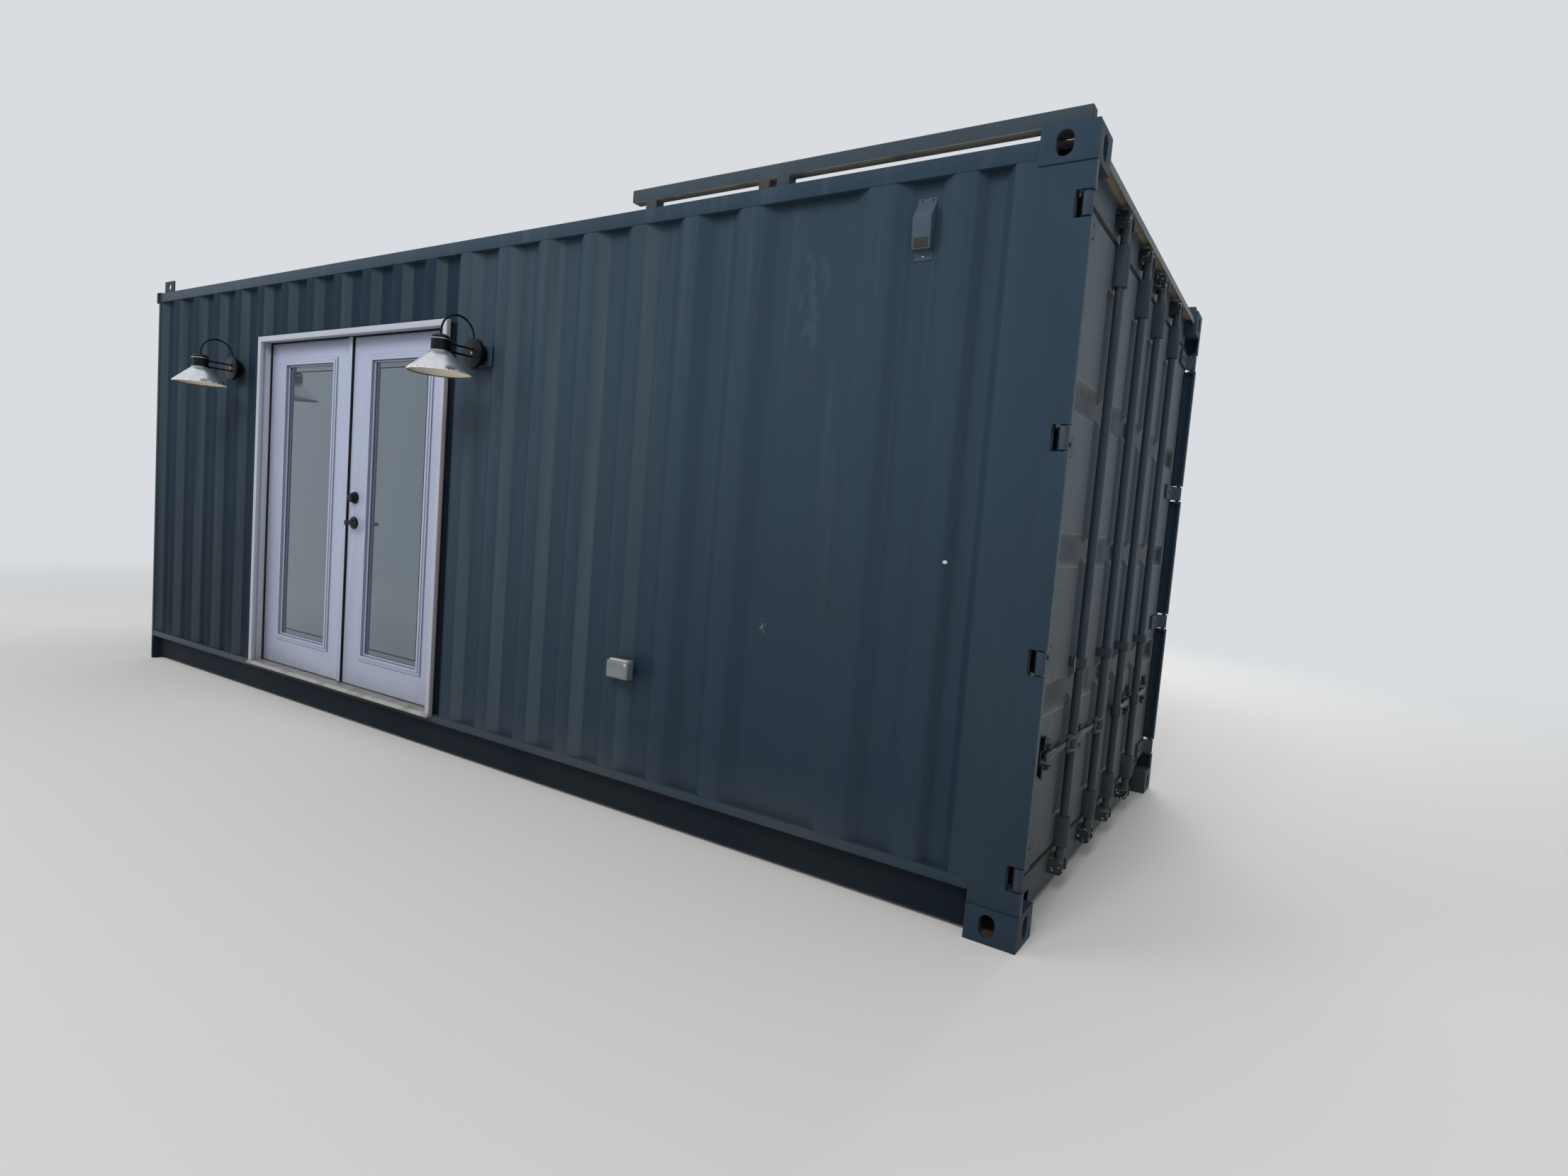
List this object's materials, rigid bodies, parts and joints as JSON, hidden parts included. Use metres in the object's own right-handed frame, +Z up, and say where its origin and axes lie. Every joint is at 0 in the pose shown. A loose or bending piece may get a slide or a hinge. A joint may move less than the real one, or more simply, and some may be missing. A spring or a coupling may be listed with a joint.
{
  "type": "shipping container cabin",
  "caption": "Cut-down shipping container made into a cabin, with corrugated walls, glazed double doors, wall lamps and cargo doors with locking rods.",
  "frame": {"origin": "middle of the box around the cabin, at ground level", "axes": "+X along the body towards the cargo doors, +Y from the glazed doors' side to the back, +Z up"},
  "size_m": [6.32, 2.7899, 2.641],
  "materials": {
    "body_paint": "satin",
    "under_paint": "matte",
    "casting_paint": "satin",
    "door_end_paint": "satin",
    "roof_paint": "matte",
    "lining_board": "matte",
    "floor_board": "satin",
    "door_white": "satin",
    "threshold_metal": "satin",
    "door_glass": "glossy",
    "black_metal": "satin",
    "shade_metal": "satin",
    "bulb_glass": "matte",
    "vent_paint": "satin",
    "box_plastic": "matte",
    "rod_paint": "satin"
  },
  "bodies": {
    "shell": {"bottom_side_rails": "body_paint", "top_side_rails": "body_paint", "end_frame": "body_paint", "end_wall": "body_paint", "rear_corner_posts": "body_paint", "wall_left_of_doorway": "body_paint", "wall_over_doorway": "body_paint", "wall_right_of_doorway": "body_paint", "back_wall": "body_paint", "lamp_block": "body_paint", "cross_members": "under_paint", "top_corner_castings": "casting_paint", "bottom_corner_castings": "casting_paint", "rod_keepers": "casting_paint", "door_header": "door_end_paint", "door_sill": "door_end_paint", "roof_panel": "roof_paint", "roof_frame": "roof_paint", "roof_tab": "roof_paint", "lining_left_of_doorway": "lining_board", "lining_over_doorway": "lining_board", "lining_right_of_doorway": "lining_board", "back_lining": "lining_board", "end_lining": "lining_board", "ceiling_lining": "lining_board", "floor_boards": "floor_board", "doorway_jambs": "door_white", "doorway_head": "door_white", "doorway_trim": "door_white", "threshold": "threshold_metal", "lamp_arms": "black_metal", "lamp_shades": "shade_metal", "lamp_bulbs": "bulb_glass", "wall_vent": "vent_paint", "outlet_box": "box_plastic"},
    "left_leaf": {"left_leaf": "door_white", "left_leaf_glass": "door_glass"},
    "right_leaf": {"right_leaf": "door_white", "right_leaf_glass": "door_glass", "door_lock": "black_metal"},
    "door_lever": {"door_lever": "black_metal"},
    "near_cargo_door": {"near_cargo_door": "door_end_paint", "near_door_hinges": "casting_paint", "near_rod_guides": "casting_paint"},
    "far_cargo_door": {"far_cargo_door": "door_end_paint", "far_door_hinges": "casting_paint", "far_rod_guides": "casting_paint"},
    "near_outer_rod": {"near_outer_rod": "rod_paint"},
    "near_inner_rod": {"near_inner_rod": "rod_paint"},
    "far_inner_rod": {"far_inner_rod": "rod_paint"},
    "far_outer_rod": {"far_outer_rod": "rod_paint"}
  },
  "joints": [
    {"name": "left_leaf_hinge", "type": "hinge", "parent": "shell", "child": "left_leaf", "pos_m": [-1.6855, -0.934, 1.15], "axis": [0, 0, 1], "range_deg": [0, 100]},
    {"name": "right_leaf_hinge", "type": "hinge", "parent": "shell", "child": "right_leaf", "pos_m": [0.0855, -0.934, 1.15], "axis": [0, 0, -1], "range_deg": [0, 100]},
    {"name": "lever_turn", "type": "hinge", "parent": "right_leaf", "child": "door_lever", "pos_m": [-0.736, -0.988, 1.125], "axis": [0, 1, 0], "range_deg": [0, 45], "stiffness_Nm_per_rad": 1.5, "springref_deg": -28.65},
    {"name": "near_door_hinge", "type": "hinge", "parent": "shell", "child": "near_cargo_door", "pos_m": [3.14, -1.023, 1.25], "axis": [0, 0, -1], "range_deg": [0, 265]},
    {"name": "far_door_hinge", "type": "hinge", "parent": "shell", "child": "far_cargo_door", "pos_m": [3.14, 1.375, 1.25], "axis": [0, 0, 1], "range_deg": [0, 265]},
    {"name": "near_outer_rod_turn", "type": "hinge", "parent": "near_cargo_door", "child": "near_outer_rod", "pos_m": [3.13, -0.441, 1.25], "axis": [0, 0, -1], "range_deg": [-90, 0]},
    {"name": "near_inner_rod_turn", "type": "hinge", "parent": "near_cargo_door", "child": "near_inner_rod", "pos_m": [3.13, -0.004, 1.25], "axis": [0, 0, -1], "range_deg": [-90, 0]},
    {"name": "far_inner_rod_turn", "type": "hinge", "parent": "far_cargo_door", "child": "far_inner_rod", "pos_m": [3.13, 0.356, 1.25], "axis": [0, 0, 1], "range_deg": [-90, 0]},
    {"name": "far_outer_rod_turn", "type": "hinge", "parent": "far_cargo_door", "child": "far_outer_rod", "pos_m": [3.13, 0.793, 1.25], "axis": [0, 0, 1], "range_deg": [-90, 0]}
  ]
}
